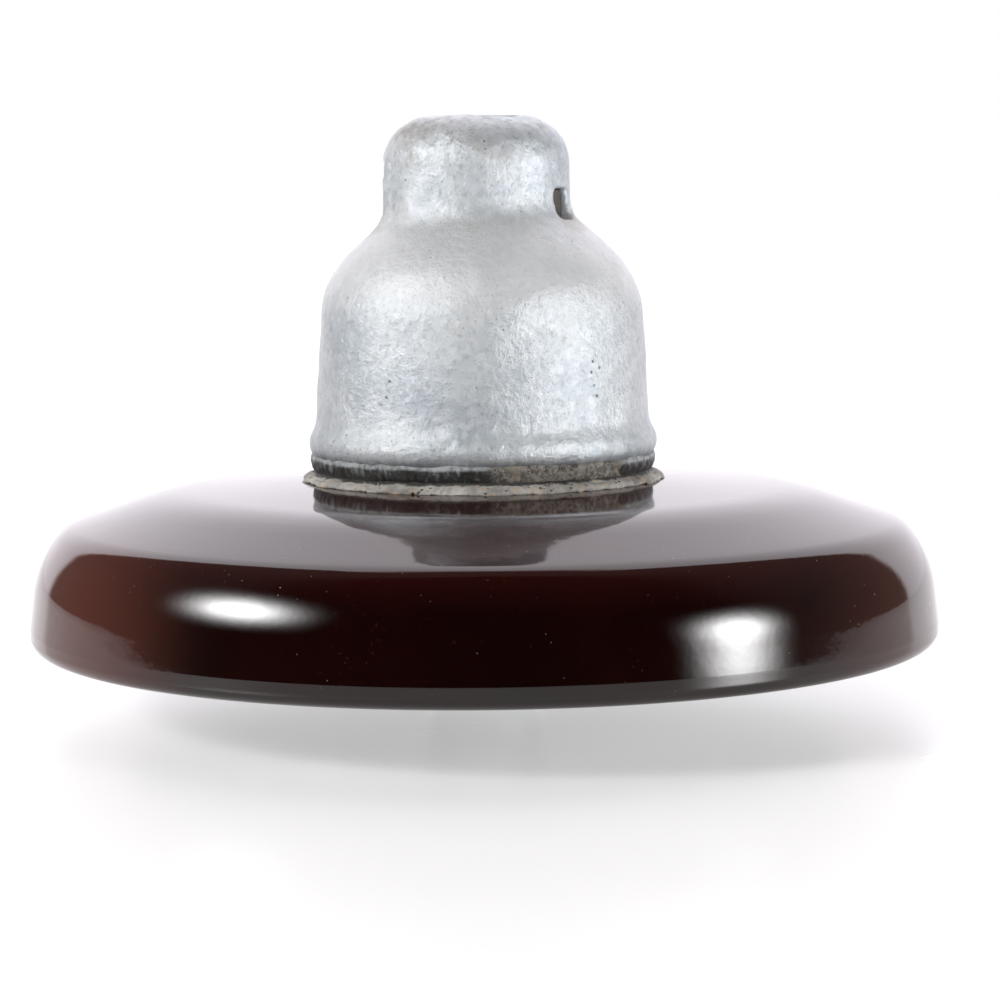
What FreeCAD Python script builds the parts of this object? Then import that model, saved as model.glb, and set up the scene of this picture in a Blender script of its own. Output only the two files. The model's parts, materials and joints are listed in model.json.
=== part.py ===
"""Cap-and-pin suspension insulator: one porcelain disc unit with a ball-and-socket coupling.

Frame: millimetres, +Z up the axis, origin at the centre of the pin ball's flat bottom.
The socket's entry mouth opens towards -X and the clip's window towards +X.
Shell, cap, cements and cushions are drawn from the rim plane, the lowest level of the
porcelain; the clip is drawn from the socket's floor, and the pin from the origin.
"""

import FreeCAD, Part
import Sketcher
import math
import os
import re

SIZES = [
    # Coupling: a 16 mm ball and socket.
    ("rim_height", 16.0, "rim plane above the ball's flat bottom"),
    ("spacing", 146.0, "from this ball's bottom to the bottom of the ball held in the socket"),
    ("shank_radius", 8.5, "pin shank"),
    ("ball_radius", 16.65, "pin ball"),
    ("ball_height", 13.4, "flat bottom to the start of the shank"),
    ("ball_belly", 8.2, "height of the ball's upper edge"),
    ("ball_foot_round", 6.0, "rounding of the ball's lower edge"),
    ("ball_top_round", 3.0, "rounding of the ball's upper edge"),
    ("ball_neck_round", 4.0, "fillet between ball and shank"),
    ("entry_play", 0.75, "side clearance of a ball in the entry mouth"),
    ("chamber_play", 0.95, "radial clearance of a ball in the chamber"),
    ("slot_play", 1.1, "side clearance of a shank in the slot"),
    ("seat_play", 0.4, "headroom between a hanging ball and the socket seat"),
    ("seat_round", 5.5, "rounding of the seat, clear of the ball's upper edge"),
    ("clip_room", 10.5, "socket floor below a hanging ball"),
    ("entry_height", 14.8, "height of the entry mouth above the socket floor"),
    ("slot_end_play", 1.4, "radial clearance of a shank in the slot's round end"),
    ("ramp_start", 18.2, "where the apron in front of the mouth starts, from the axis"),
    ("ramp_run", 21.0, "length of the sloping apron"),
    ("ramp_drop", 10.4, "fall of the apron over its length"),
    # Cap casting, measured from the rim plane.
    ("cap_top", 148.5, "top of the cap"),
    ("cap_foot", 51.4, "lower edge of the cap's skirt"),
    ("foot_radius", 45.4, "outer radius at the lower edge"),
    ("foot_edge_round", 1.2, "rounding of the lower edge"),
    ("bead_radius", 50.1, "where the two flanks of the skirt's bead would meet"),
    ("bead_level", 57.3, "height of the bead's widest line"),
    ("bead_round", 6.0, "rounding of the bead"),
    ("body_foot", 63.4, "where the bead meets the body"),
    ("body_radius", 46.95, "outer radius of the body just above the bead"),
    ("body_foot_round", 8.0, "fillet between bead and body"),
    ("shoulder_level", 103.8, "where body and shoulder cone would meet"),
    ("shoulder_radius", 44.8, "radius at that level"),
    ("shoulder_round", 27.0, "rounding of the shoulder"),
    ("cone_top_level", 126.1, "upper end of the shoulder cone, inside the head"),
    ("cone_top_radius", 20.2, "radius of the cone there"),
    ("neck_round", 8.0, "fillet between shoulder and head"),
    ("head_radius", 26.3, "radius of the head"),
    ("head_shift", 1.5, "how far the head's own axis stands towards the mouth"),
    ("head_round", 13.4, "rounding of the head's top"),
    ("lip_edge", 1.0, "rounding of the slot, mouth and window edges"),
    ("bore_lip", 40.0, "inner radius at the skirt's lower edge"),
    ("bore_lip_height", 5.6, "height of that straight lip"),
    ("bore_keyway", 41.5, "inner radius where the skirt is undercut to key the cement"),
    ("bore_keyway_level", 60.0, "height of the undercut"),
    ("bore_upper", 39.8, "inner radius under the shoulder"),
    ("bore_upper_level", 97.5, "height there"),
    ("bore_roof_radius", 26.0, "inner radius of the flat roof"),
    ("bore_roof", 110.4, "height of the roof"),
    ("bore_round", 7.0, "rounding inside the shoulder"),
    # Window and locking clip.
    ("window_width", 8.4, "width of the window at the head's outer face"),
    ("window_inner_width", 6.9, "width of the window at the recess"),
    ("window_height", 8.6, "height of the window above the socket floor"),
    ("recess_width", 13.0, "width of the recess for the clip's tips"),
    ("recess_depth", 1.7, "depth of that recess in the chamber wall"),
    ("clip_thickness", 1.1, "strip thickness"),
    ("clip_width", 8.0, "strip width, which stands upright"),
    ("clip_leg_half", 3.1, "outside of the legs from the clip's centre plane"),
    ("clip_tail_half", 3.58, "outside of the tail's swell from the centre plane"),
    ("clip_tail_length", 1.2, "length of the swell"),
    ("clip_tail", 23.0, "end of the tail from the axis, locked"),
    ("clip_nose", 13.6, "front of the tips from the axis, locked"),
    ("clip_tip_half", 5.6, "reach of the turned-out tips from the centre plane"),
    ("clip_lift", 0.3, "clearance between the clip and the socket floor"),
    # Porcelain shell, measured from the rim plane.
    ("shed_radius", 127.5, "disc radius"),
    ("shed_seat", 48.2, "level where the shed's top would meet the head"),
    ("shed_slope_inset", 37.3, "from the side in to where the top starts to fall away"),
    ("shed_slope_level", 44.7, "height there"),
    ("shed_slope_round", 60.0, "rounding there"),
    ("shed_brow_inset", 9.7, "from the side in to where the top turns down"),
    ("shed_brow_level", 35.3, "height there"),
    ("shed_brow_round", 11.0, "rounding there"),
    ("shed_side_inset", 2.1, "from the widest line in to where the brow meets the leaning side"),
    ("shed_side_level", 25.6, "height there"),
    ("shed_side_round", 30.0, "rounding there"),
    ("rim_wide_level", 7.8, "widest line, where the leaning side turns upright"),
    ("rim_wide_round", 12.0, "rounding there"),
    ("rim_side_level", 2.7, "where the side meets the rim's underside"),
    ("rim_side_round", 4.0, "rounding there"),
    ("rim_flat_inset", 21.5, "from the side in to the outer edge of the rim's lowest ring"),
    ("rim_flat_round", 16.0, "rounding there"),
    ("drip_inset", 25.9, "from the side in to the inner edge of the rim"),
    ("drip_round", 2.8, "rounding of the inner edge"),
    ("channel_inset", 28.2, "from the side in to the first channel's outer wall at its root"),
    ("channel_level", 27.5, "height of the first channel's root"),
    ("channel_round", 4.5, "rounding of the channels' roots"),
    ("rib_tip_half", 3.1, "half thickness of a rib at its tip"),
    ("rib_root_half", 4.6, "half thickness of a rib at its root"),
    ("rib_tip_round", 2.6, "rounding of a rib's tip"),
    ("rib_outer_radius", 85.5, "outer rib"),
    ("rib_outer_tip", 9.0, "level of its tip"),
    ("rib_outer_root", 29.5, "level of its root"),
    ("rib_middle_radius", 67.0, "middle rib"),
    ("rib_middle_tip", 7.0, "level of its tip"),
    ("rib_middle_root", 31.5, "level of its root"),
    ("rib_inner_radius", 49.0, "inner rib"),
    ("rib_inner_tip", 9.0, "level of its tip"),
    ("rib_inner_root", 33.0, "level of its root"),
    ("hub_root_radius", 34.0, "hub around the pin hole, at its root"),
    ("hub_radius", 32.0, "hub at its lower end"),
    ("hub_level", 20.0, "level of the hub's lower end"),
    ("hub_round", 3.5, "rounding of the hub's lower end"),
    ("pin_hole_radius", 22.0, "pin hole"),
    ("pin_hole_roof", 86.0, "roof of the pin hole"),
    ("pin_hole_roof_round", 10.0, "rounding of the roof"),
    ("pin_hole_edge", 2.5, "rounding of the hole's mouth"),
    ("stem_radius", 34.8, "outer radius of the porcelain head"),
    ("stem_round", 8.0, "fillet between porcelain head and shed"),
    ("crown_level", 101.0, "top of the porcelain head"),
    ("crown_round", 13.5, "rounding of the crown"),
    # Sand bands, cements, coats and cushions.
    ("sand", 0.8, "thickness of the fired-on sand bands"),
    ("head_band_low", 58.0, "lower end of the head's sand band"),
    ("head_band_high", 86.5, "upper end of the head's sand band"),
    ("hole_band_low", 30.0, "lower end of the pin hole's sand band"),
    ("hole_band_high", 75.0, "upper end of the pin hole's sand band"),
    ("coat", 0.4, "thickness of the bitumen coats"),
    ("seal_height", 0.9, "height of the bitumen ring under the skirt"),
    ("seal_radius", 46.4, "outer radius of the bitumen ring"),
    ("bead_cement_top", 46.9, "radius of the cement bead's upper edge"),
    ("bead_cement_foot", 49.7, "radius of the cement bead where it lies on the shed"),
    ("crown_pad_radius", 19.5, "cushion on the porcelain head"),
    ("crown_pad_height", 2.0, "thickness of that cushion"),
    ("pin_cement_level", 23.0, "lower face of the pin's cement"),
    ("pin_pad_radius", 14.0, "cushion on the pin's foot"),
    ("pin_pad_height", 2.0, "thickness of that cushion"),
    # Embedded end of the pin, measured from the origin.
    ("grip_level", 44.0, "where the shank starts to swell"),
    ("grip_root_radius", 10.2, "smaller radius of the two upper grip cones"),
    ("grip_low_radius", 12.6, "larger radius of the lowest grip cone"),
    ("grip_low_level", 60.0, "height of its larger end"),
    ("grip_middle_radius", 14.2, "larger radius of the middle grip cone"),
    ("grip_middle_level", 76.0, "height of its larger end"),
    ("grip_top_radius", 16.2, "radius of the pin's foot"),
    ("grip_top_level", 92.0, "height where the foot turns upright"),
    ("grip_step", 3.0, "height of the step under each upper cone"),
    ("pin_length", 96.0, "ball bottom to the top of the foot"),
]
FUNCTIONS = {"sqrt", "max", "min", "abs"}

document = FreeCAD.newDocument("insulator")
sheet = document.addObject("Spreadsheet::Sheet", "Sizes")
for row, (alias, number, meaning) in enumerate(SIZES, start=1):
    sheet.set(f"A{row}", meaning)
    sheet.set(f"B{row}", str(number))
    sheet.setAlias(f"B{row}", alias)
document.recompute()


def bound(formula):
    """The formula with each size's name turned into a reference to its cell."""

    def reference(match):
        word = match.group()
        return word if word in FUNCTIONS else f"Sizes.{word}"

    return re.sub(r"[a-z_]\w*", reference, str(formula))


def value(formula):
    """The formula's present value in millimetres."""
    return float(sheet.evalExpression(bound(formula)))


def new_body(label, height="0"):
    """An empty body whose own zero level stands at the given height."""
    body = document.addObject("PartDesign::Body", label)
    body.Label = label
    body.setExpression("Placement.Base.z", bound(height))
    return body


def new_sketch(body, name, role, shift="0", height="0"):
    """A sketch on one of the body's own origin planes, moved in that plane or off it."""
    sketch = body.newObject("Sketcher::SketchObject", f"{body.Name}_{name}")
    plane = next(item for item in body.Origin.OriginFeatures if item.Role == role)
    sketch.AttachmentSupport = [(plane, "")]
    sketch.MapMode = "FlatFace"
    sketch.setExpression("AttachmentOffset.Base.x", bound(shift))
    sketch.setExpression("AttachmentOffset.Base.z", bound(height))
    return sketch


def constrain(sketch, kind, references, formula):
    """Add a constraint with a size and bind that size to the sheet."""
    index = sketch.addConstraint(Sketcher.Constraint(kind, *references, value(formula)))
    sketch.setExpression(f"Constraints[{index}]", bound(formula))


def relate(sketch, kind, *references):
    """Add a constraint that has no size."""
    sketch.addConstraint(Sketcher.Constraint(kind, *references))


def pin_point(sketch, geometry, end, x, y):
    """Fix one point of the sketch at two formulas, or on an axis where one is zero."""
    if str(x) == "0":
        relate(sketch, "PointOnObject", geometry, end, -2)
    else:
        constrain(sketch, "DistanceX", (-1, 1, geometry, end), x)
    if str(y) == "0":
        relate(sketch, "PointOnObject", geometry, end, -1)
    else:
        constrain(sketch, "DistanceY", (-1, 1, geometry, end), y)


def unit(start, end):
    """Unit vector from one point to another."""
    step = end - start
    return step / step.Length


def rounding(before, corner, after, radius):
    """Tangent points and centre of an arc that rounds a corner."""
    back = unit(corner, before)
    forth = unit(corner, after)
    half = back.getAngle(forth) / 2
    reach = radius / math.tan(half)
    centre = corner + (back + forth).normalize() * (radius / math.sin(half))
    return corner + back * reach, corner + forth * reach, centre


def outline(sketch, corners):
    """Closed outline through corners (x, y) or (x, y, radius), each a formula of the sizes.

    A rounded corner keeps its sharp point as construction geometry, on both of its lines.
    """
    points = [FreeCAD.Vector(value(c[0]), value(c[1]), 0) for c in corners]
    count = len(corners)
    starts = list(points)
    ends = list(points)
    arcs = {}
    for i, corner in enumerate(corners):
        if len(corner) == 3:
            ends[i], starts[i], centre = rounding(
                points[i - 1], points[i], points[(i + 1) % count], value(corner[2])
            )
            arcs[i] = centre
    lines = []
    for i in range(count):
        segment = Part.LineSegment(starts[i], ends[(i + 1) % count])
        lines.append(sketch.addGeometry(segment, False))
    for i, corner in enumerate(corners):
        before = lines[i - 1]
        after = lines[i]
        if i not in arcs:
            relate(sketch, "Coincident", before, 2, after, 1)
            pin_point(sketch, after, 1, corner[0], corner[1])
            continue
        centre = arcs[i]
        circle = Part.Circle(centre, FreeCAD.Vector(0, 0, 1), value(corner[2]))
        leftward = (ends[i] - centre).cross(starts[i] - centre).z > 0
        first, last = (ends[i], starts[i]) if leftward else (starts[i], ends[i])
        angles = [math.atan2(p.y - centre.y, p.x - centre.x) for p in (first, last)]
        arc = sketch.addGeometry(Part.ArcOfCircle(circle, *angles), False)
        sharp = sketch.addGeometry(Part.Point(points[i]), True)
        relate(sketch, "Tangent", before, 2, arc, 1 if leftward else 2)
        relate(sketch, "Tangent", after, 1, arc, 2 if leftward else 1)
        relate(sketch, "PointOnObject", sharp, 1, before)
        relate(sketch, "PointOnObject", sharp, 1, after)
        pin_point(sketch, sharp, 1, corner[0], corner[1])
        constrain(sketch, "Radius", (arc,), corner[2])


def revolve(body, name, corners, groove=False, shift="0"):
    """Turn an outline of radii and heights about the body's axis, or one beside it."""
    sketch = new_sketch(body, name, "XZ_Plane", shift=shift)
    outline(sketch, corners)
    kind = "PartDesign::Groove" if groove else "PartDesign::Revolution"
    feature = body.newObject(kind, f"{body.Name}_{name}_turned")
    feature.Profile = sketch
    feature.ReferenceAxis = (sketch, ["V_Axis"])
    feature.Angle = 360
    document.recompute()
    return feature


def extrude(body, name, role, corners, length, reverse=False, both=False, height="0"):
    """Pad an outline on an origin plane, one way or both ways."""
    sketch = new_sketch(body, name, role, height=height)
    outline(sketch, corners)
    feature = body.newObject("PartDesign::Pad", f"{body.Name}_{name}_extruded")
    feature.Profile = sketch
    feature.setExpression("Length", bound(length))
    feature.Reversed = reverse
    feature.SideType = "Symmetric" if both else "One side"
    document.recompute()
    return feature


# Levels and clearances of the socket, from the rim plane.
HANG = "spacing - rim_height"
FLOOR = "spacing - rim_height - clip_room"
MOUTH_TOP = "spacing - rim_height - clip_room + entry_height"
MOUTH_HALF = "ball_radius + entry_play"
CHAMBER = "ball_radius + chamber_play"
SLOT_HALF = "shank_radius + slot_play"
SLOT_END = "shank_radius + slot_end_play"
HEAD_BACK = "head_radius - head_shift"

# Height of the shed's top where the cement bead's foot lies on it.
BEAD_FOOT_LEVEL = (
    "shed_seat + (shed_slope_level - shed_seat) * (bead_cement_foot - stem_radius)"
    " / (shed_radius - shed_slope_inset - stem_radius)"
)

# The cap's bore from its lower edge to its roof, and the same wall inside its bitumen lining.
CAP_BORE = [
    ("bore_lip", "cap_foot"),
    ("bore_lip", "cap_foot + bore_lip_height"),
    ("bore_keyway", "bore_keyway_level"),
    ("bore_upper", "bore_upper_level", "bore_round"),
    ("bore_roof_radius", "bore_roof", "bore_round"),
    ("0", "bore_roof"),
]
LINED_BORE = [
    ("bore_lip - coat", "cap_foot"),
    ("bore_lip - coat", "cap_foot + bore_lip_height"),
    ("bore_keyway - coat", "bore_keyway_level"),
    ("bore_upper - coat", "bore_upper_level", "bore_round"),
    ("bore_roof_radius - coat", "bore_roof - coat", "bore_round"),
    ("0", "bore_roof - coat"),
]


def grip(extra="0"):
    """Outline of the pin's embedded end, from the cement's lower face to its flat top."""
    low = "rim_height + pin_cement_level"
    radii_and_levels = [
        ("shank_radius", low),
        ("shank_radius", "grip_level"),
        ("grip_low_radius", "grip_low_level"),
        ("grip_root_radius", "grip_low_level + grip_step"),
        ("grip_middle_radius", "grip_middle_level"),
        ("grip_root_radius", "grip_middle_level + grip_step"),
        ("grip_top_radius", "grip_top_level"),
        ("grip_top_radius", "pin_length"),
    ]
    return [(f"{radius} + {extra}", level) for radius, level in radii_and_levels]


def porcelain_shell():
    """Glazed disc: hollow head, sloping shed, rounded rim and three ribs underneath."""
    body = new_body("porcelain_shell", "rim_height")
    top = [
        ("0", "crown_level"),
        ("stem_radius", "crown_level", "crown_round"),
        ("stem_radius", "shed_seat", "stem_round"),
        ("shed_radius - shed_slope_inset", "shed_slope_level", "shed_slope_round"),
        ("shed_radius - shed_brow_inset", "shed_brow_level", "shed_brow_round"),
        ("shed_radius - shed_side_inset", "shed_side_level", "shed_side_round"),
        ("shed_radius", "rim_wide_level", "rim_wide_round"),
        ("shed_radius", "rim_side_level", "rim_side_round"),
        ("shed_radius - rim_flat_inset", "0", "rim_flat_round"),
        ("shed_radius - drip_inset", "0", "drip_round"),
        ("shed_radius - channel_inset", "channel_level", "channel_round"),
    ]
    ribs = []
    for place in ("outer", "middle", "inner"):
        radius = f"rib_{place}_radius"
        root = f"rib_{place}_root"
        tip = f"rib_{place}_tip"
        ribs += [
            (f"{radius} + rib_root_half", root, "channel_round"),
            (f"{radius} + rib_tip_half", tip, "rib_tip_round"),
            (f"{radius} - rib_tip_half", tip, "rib_tip_round"),
            (f"{radius} - rib_root_half", root, "channel_round"),
        ]
    hub = [
        ("hub_root_radius", "rib_inner_root", "channel_round"),
        ("hub_radius", "hub_level", "hub_round"),
        ("pin_hole_radius", "hub_level", "pin_hole_edge"),
        ("pin_hole_radius", "pin_hole_roof", "pin_hole_roof_round"),
        ("0", "pin_hole_roof"),
    ]
    revolve(body, "section", top + ribs + hub)
    return body


def ring(label, inner, outer, low, high, height="rim_height"):
    """A plain ring, or a disc where the inner radius is zero."""
    body = new_body(label, height)
    revolve(body, "section", [(inner, low), (outer, low), (outer, high), (inner, high)])
    return body


def cap_casting():
    """The cap before its openings: bell with a beaded skirt, head, bore and ball chamber."""
    body = new_body("cap_casting", "rim_height")
    bell = [
        ("0", "cap_foot"),
        ("foot_radius", "cap_foot", "foot_edge_round"),
        ("bead_radius", "bead_level", "bead_round"),
        ("body_radius", "body_foot", "body_foot_round"),
        ("shoulder_radius", "shoulder_level", "shoulder_round"),
        ("cone_top_radius", "cone_top_level"),
        ("0", "cone_top_level"),
    ]
    revolve(body, "bell", bell)
    head = [
        ("0", "bore_roof"),
        ("head_radius", "bore_roof"),
        ("head_radius", "cap_top", "head_round"),
        ("0", "cap_top"),
    ]
    revolve(body, "head", head, shift="-head_shift")
    revolve(body, "bore", [("0", "cap_foot")] + CAP_BORE, groove=True)
    chamber = [
        ("0", FLOOR),
        (CHAMBER, FLOOR),
        (CHAMBER, f"{HANG} + ball_height + seat_play", "seat_round"),
        (SLOT_END, f"{HANG} + ball_height + seat_play"),
        (SLOT_END, "cap_top + lip_edge"),
        ("0", "cap_top + lip_edge"),
    ]
    revolve(body, "chamber", chamber, groove=True)
    return body


def cap_openings():
    """What the casting's openings take away: mouth, slot, apron, window and clip recess."""
    body = new_body("cap_openings", "rim_height")
    mouth = [
        (MOUTH_HALF, FLOOR),
        (MOUTH_HALF, MOUTH_TOP),
        (f"-({MOUTH_HALF})", MOUTH_TOP),
        (f"-({MOUTH_HALF})", FLOOR),
    ]
    extrude(body, "mouth", "YZ_Plane", mouth, "shoulder_radius", reverse=True)
    slot = [
        (SLOT_HALF, HANG),
        (SLOT_HALF, "cap_top + lip_edge"),
        (f"-({SLOT_HALF})", "cap_top + lip_edge"),
        (f"-({SLOT_HALF})", HANG),
    ]
    extrude(body, "slot", "YZ_Plane", slot, "shoulder_radius", reverse=True)
    ramp = [
        ("-ramp_start", FLOOR),
        ("-(ramp_start + ramp_run)", f"{FLOOR} - ramp_drop"),
        ("-(ramp_start + ramp_run)", f"{FLOOR} + ramp_drop"),
        ("-ramp_start", f"{FLOOR} + ramp_drop"),
    ]
    extrude(body, "ramp", "XZ_Plane", ramp, f"2 * ({MOUTH_HALF})", both=True)
    window_start = f"{CHAMBER} + recess_depth"
    taper = f"(window_width - window_inner_width) / 2 / ({HEAD_BACK} - ({window_start}))"
    window_end = f"{HEAD_BACK} + neck_round"
    end_half = f"window_inner_width / 2 + ({taper}) * ({window_end} - ({window_start}))"
    recess = [
        ("-recess_depth", "recess_width / 2"),
        (window_start, "recess_width / 2"),
        (window_start, "-recess_width / 2"),
        ("-recess_depth", "-recess_width / 2"),
    ]
    extrude(body, "recess", "XY_Plane", recess, "window_height", height=FLOOR)
    window = [
        (window_start, "window_inner_width / 2"),
        (window_end, end_half),
        (window_end, f"-({end_half})"),
        (window_start, "-window_inner_width / 2"),
    ]
    extrude(body, "window", "XY_Plane", window, "window_height", height=FLOOR)
    return body


def cap():
    """Galvanised cap: the casting less its openings, with the neck filleted last."""
    opened = document.addObject("Part::Cut", "cap_opened")
    opened.Base = cap_casting()
    opened.Tool = cap_openings()
    document.recompute()
    head_start = value("rim_height + cap_top - head_round")
    head_width = value("head_radius")
    edges = []
    for number, edge in enumerate(opened.Shape.Edges, start=1):
        box = edge.BoundBox
        if box.XLength > head_width and box.ZLength > 1 and box.ZMax < head_start:
            edges.append((number, value("neck_round"), value("neck_round")))
    body = document.addObject("Part::Fillet", "cap")
    body.Label = "cap"
    body.Base = opened
    body.Edges = edges
    document.recompute()
    return body


def cap_lining():
    """Bitumen coat between the cap's bore and the cement, from the lip to the roof."""
    body = new_body("cap_lining", "rim_height")
    revolve(body, "section", CAP_BORE + LINED_BORE[::-1])
    return body


def cap_cement():
    """Cement between cap and porcelain head, with its bead squeezed out onto the shed."""
    body = new_body("cap_cement", "rim_height")
    seal_foot = "cap_foot - seal_height"
    porcelain_side = [
        ("bead_cement_foot", BEAD_FOOT_LEVEL),
        ("stem_radius", "shed_seat", "stem_round"),
        ("stem_radius", "head_band_low"),
        ("stem_radius + sand", "head_band_low"),
        ("stem_radius + sand", "head_band_high"),
        ("stem_radius", "head_band_high"),
        ("stem_radius", "crown_level", "crown_round"),
        ("crown_pad_radius", "crown_level"),
        ("crown_pad_radius", "crown_level + crown_pad_height"),
        ("0", "crown_level + crown_pad_height"),
    ]
    cap_side = LINED_BORE[:0:-1] + [("bore_lip - coat", seal_foot), ("bead_cement_top", seal_foot)]
    revolve(body, "section", porcelain_side + cap_side)
    return body


def pin():
    """Forged pin: ball, shank and a foot of three grip cones set in cement."""
    body = new_body("pin")
    ball = [
        ("0", "0"),
        ("ball_radius", "0", "ball_foot_round"),
        ("ball_radius", "ball_belly", "ball_top_round"),
        ("shank_radius", "ball_height", "ball_neck_round"),
    ]
    revolve(body, "section", ball + grip()[1:] + [("0", "pin_length")])
    return body


def pin_coat():
    """Bitumen coat on the embedded end of the pin."""
    body = new_body("pin_coat")
    revolve(body, "section", grip() + grip("coat")[::-1])
    return body


def pin_cement():
    """Cement that holds the pin in the porcelain head."""
    body = new_body("pin_cement")
    low = "rim_height + pin_cement_level"
    band_low = "rim_height + hole_band_low"
    band_high = "rim_height + hole_band_high"
    roof = "rim_height + pin_hole_roof"
    hole_side = [
        ("pin_hole_radius", low),
        ("pin_hole_radius", band_low),
        ("pin_hole_radius - sand", band_low),
        ("pin_hole_radius - sand", band_high),
        ("pin_hole_radius", band_high),
        ("pin_hole_radius", roof, "pin_hole_roof_round"),
        ("0", roof),
    ]
    pad_side = [
        ("0", "pin_length + pin_pad_height"),
        ("pin_pad_radius", "pin_length + pin_pad_height"),
        ("pin_pad_radius", "pin_length"),
    ]
    revolve(body, "section", hole_side + pad_side + grip("coat")[::-1])
    return body


def locking_clip():
    """Spring strip bent to a hairpin: swollen tail in the window, turned-out tips at the nose."""
    body = new_body("locking_clip", f"{FLOOR} + rim_height + clip_lift")
    tip_back = "clip_thickness - clip_nose"
    swell = "clip_tail - clip_tail_length - clip_tail_half + clip_leg_half"
    inner_half = "clip_leg_half - clip_thickness"
    one_side = [
        ("-clip_nose", inner_half, "clip_thickness"),
        ("-clip_nose", "clip_tip_half"),
        (tip_back, "clip_tip_half"),
        (tip_back, "clip_leg_half"),
        (f"{swell} - clip_tail_half + clip_leg_half", "clip_leg_half"),
        (swell, "clip_tail_half"),
        ("clip_tail", "clip_tail_half", "clip_thickness"),
    ]
    other_side = [(c[0], f"-({c[1]})", *c[2:]) for c in one_side[::-1]]
    inside = [
        ("clip_tail - clip_thickness", f"-({inner_half})"),
        ("clip_tail - clip_thickness", inner_half),
    ]
    extrude(body, "strip", "XY_Plane", one_side + other_side + inside, "clip_width")
    return body


def check(bodies):
    """Stop on a failed object, or on a body that is not one valid solid."""
    for item in document.Objects:
        if "Invalid" in item.State or "Error" in item.State:
            raise RuntimeError(f"{item.Name} failed: {item.State}")
    for body in bodies:
        shape = body.Shape
        if shape.isNull() or not shape.isValid() or len(shape.Solids) != 1:
            raise RuntimeError(f"{body.Label} is not one valid solid")


def main():
    """Build every piece, check them and write one file each."""
    bodies = [
        porcelain_shell(),
        ring("head_sand_band", "stem_radius", "stem_radius + sand", "head_band_low", "head_band_high"),
        ring("hole_sand_band", "pin_hole_radius - sand", "pin_hole_radius", "hole_band_low", "hole_band_high"),
        ring("crown_cushion", "0", "crown_pad_radius", "crown_level", "crown_level + crown_pad_height"),
        cap(),
        cap_lining(),
        ring("skirt_seal", "bore_lip - coat", "seal_radius", "cap_foot - seal_height", "cap_foot"),
        cap_cement(),
        pin(),
        pin_coat(),
        ring("pin_cushion", "0", "pin_pad_radius", "pin_length", "pin_length + pin_pad_height", "0"),
        pin_cement(),
        locking_clip(),
    ]
    document.recompute()
    check(bodies)
    os.makedirs("parts", exist_ok=True)
    for body in bodies:
        body.Shape.exportStep(f"parts/{body.Label}.step")
        print(f"{body.Label}: {body.Shape.Volume / 1000:.2f} cm3")


main()
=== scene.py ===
"""A porcelain disc insulator with cap and pin: detailed pieces, finishes, studio and camera."""

import json
import math

import bmesh
import bpy
import numpy as np
from mathutils import Matrix, Vector

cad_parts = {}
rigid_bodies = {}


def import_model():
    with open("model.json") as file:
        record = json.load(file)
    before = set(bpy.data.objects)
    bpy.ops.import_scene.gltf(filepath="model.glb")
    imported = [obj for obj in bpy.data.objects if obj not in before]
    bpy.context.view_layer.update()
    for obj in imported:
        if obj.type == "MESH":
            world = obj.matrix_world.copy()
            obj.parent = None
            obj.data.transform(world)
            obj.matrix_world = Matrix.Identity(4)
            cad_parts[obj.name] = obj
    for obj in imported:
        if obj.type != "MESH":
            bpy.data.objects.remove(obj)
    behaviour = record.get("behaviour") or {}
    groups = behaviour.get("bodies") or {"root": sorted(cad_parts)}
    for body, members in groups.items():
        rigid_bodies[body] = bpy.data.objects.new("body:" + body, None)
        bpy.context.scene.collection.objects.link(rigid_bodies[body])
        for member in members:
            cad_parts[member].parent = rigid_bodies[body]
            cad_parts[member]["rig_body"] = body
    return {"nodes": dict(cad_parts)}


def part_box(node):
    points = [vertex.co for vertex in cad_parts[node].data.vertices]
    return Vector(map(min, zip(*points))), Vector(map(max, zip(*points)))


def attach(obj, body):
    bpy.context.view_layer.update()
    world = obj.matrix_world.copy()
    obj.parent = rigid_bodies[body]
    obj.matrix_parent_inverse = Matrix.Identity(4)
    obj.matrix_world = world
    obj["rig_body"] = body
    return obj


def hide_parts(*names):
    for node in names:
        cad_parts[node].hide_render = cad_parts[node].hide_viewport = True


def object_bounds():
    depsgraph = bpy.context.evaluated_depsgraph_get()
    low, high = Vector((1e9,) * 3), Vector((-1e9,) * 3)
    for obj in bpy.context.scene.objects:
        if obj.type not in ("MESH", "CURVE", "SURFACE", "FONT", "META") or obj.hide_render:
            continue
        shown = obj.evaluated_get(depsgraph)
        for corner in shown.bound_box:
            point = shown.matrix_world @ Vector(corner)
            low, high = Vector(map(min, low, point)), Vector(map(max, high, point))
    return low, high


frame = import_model()
CAD_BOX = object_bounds()
MM = 0.001
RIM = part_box("porcelain_shell")[0].z / MM
REACH = min(CAD_BOX[1].x, CAD_BOX[1].y, -CAD_BOX[0].x, -CAD_BOX[0].y) / MM
HEAD_SHIFT = 1.5  # the head's own axis stands this far towards the mouth
HEAD_ROUND = 13.4  # rounding of the head's top
HEAD_CROWN = 12.9  # radius of the head's flat top, inside that rounding
HEAD_TURN = 135.1  # level above the rim plane where that rounding starts
MOUTH_TOP = 134.3  # level of the entry mouth's upper edge
MOUTH_LIP = 17.8  # middle of its upright lips, from the socket's middle plane


# ---------------------------------------------------------------- shapes


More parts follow.
